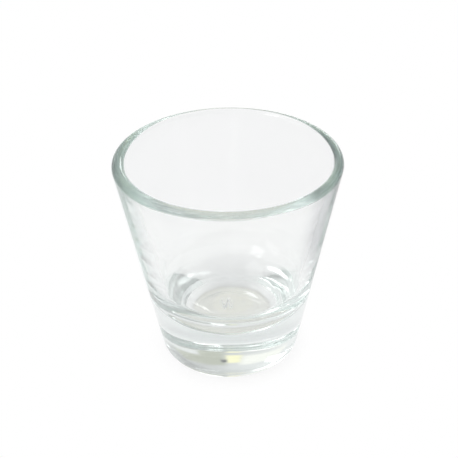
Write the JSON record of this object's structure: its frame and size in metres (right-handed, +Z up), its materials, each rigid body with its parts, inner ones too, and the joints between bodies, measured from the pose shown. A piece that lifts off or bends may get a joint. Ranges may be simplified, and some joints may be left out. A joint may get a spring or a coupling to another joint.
{
  "type": "verrine glass",
  "caption": "Small clear verrine glass, pressed in one piece: straight flared wall, rounded lip and a thick base under a bowl-bottomed cavity that holds a single serving.",
  "frame": {"origin": "on the table plane, at the centre of the foot", "axes": "+Z up along the axis of revolution, from the foot to the lip; X and Y are free, because the glass is round"},
  "size_m": [0.06, 0.06, 0.06],
  "materials": {
    "clear_glass": "clear soda-lime glass, fire-polished, with a faint green tint where it is thick"
  },
  "bodies": {
    "root": {"glass_body": "clear_glass"}
  },
  "joints": []
}
